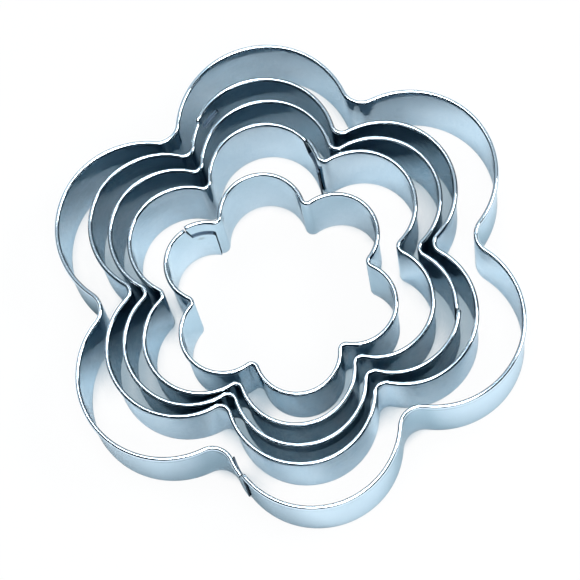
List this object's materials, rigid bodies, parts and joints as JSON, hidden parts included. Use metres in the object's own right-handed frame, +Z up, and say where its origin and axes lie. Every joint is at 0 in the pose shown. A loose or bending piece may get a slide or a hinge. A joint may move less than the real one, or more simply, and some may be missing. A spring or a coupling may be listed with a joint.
{
  "type": "nested flower cookie cutter set",
  "caption": "Nested flower-shaped pastry cutters of hemmed stainless strip, each closed by a welded lap seam, standing one inside the next with their cutting edges down.",
  "frame": {"origin": "on the surface that the set stands on, at the centre of the largest cutter's outline", "axes": "+Z up along the walls; +Y through the tip of the largest cutter's far lobe; +X to the right, through a valley between two of its lobes"},
  "size_m": [0.0918, 0.0996, 0.019],
  "materials": {
    "polished_stainless": "bright polished stainless steel strip, with faint rolling marks"
  },
  "bodies": {
    "largest_cutter": {"largest_cutter": "polished_stainless"},
    "large_cutter": {"large_cutter": "polished_stainless"},
    "middle_cutter": {"middle_cutter": "polished_stainless"},
    "small_cutter": {"small_cutter": "polished_stainless"},
    "smallest_cutter": {"smallest_cutter": "polished_stainless"}
  },
  "joints": [
    {"name": "large_lift", "type": "slide", "parent": "largest_cutter", "child": "large_cutter", "axis": [0, 0, 1], "range_m": [0, 0.025]},
    {"name": "middle_lift", "type": "slide", "parent": "largest_cutter", "child": "middle_cutter", "axis": [0, 0, 1], "range_m": [0, 0.025]},
    {"name": "small_lift", "type": "slide", "parent": "largest_cutter", "child": "small_cutter", "axis": [0, 0, 1], "range_m": [0, 0.025]},
    {"name": "smallest_lift", "type": "slide", "parent": "largest_cutter", "child": "smallest_cutter", "axis": [0, 0, 1], "range_m": [0, 0.025]}
  ]
}
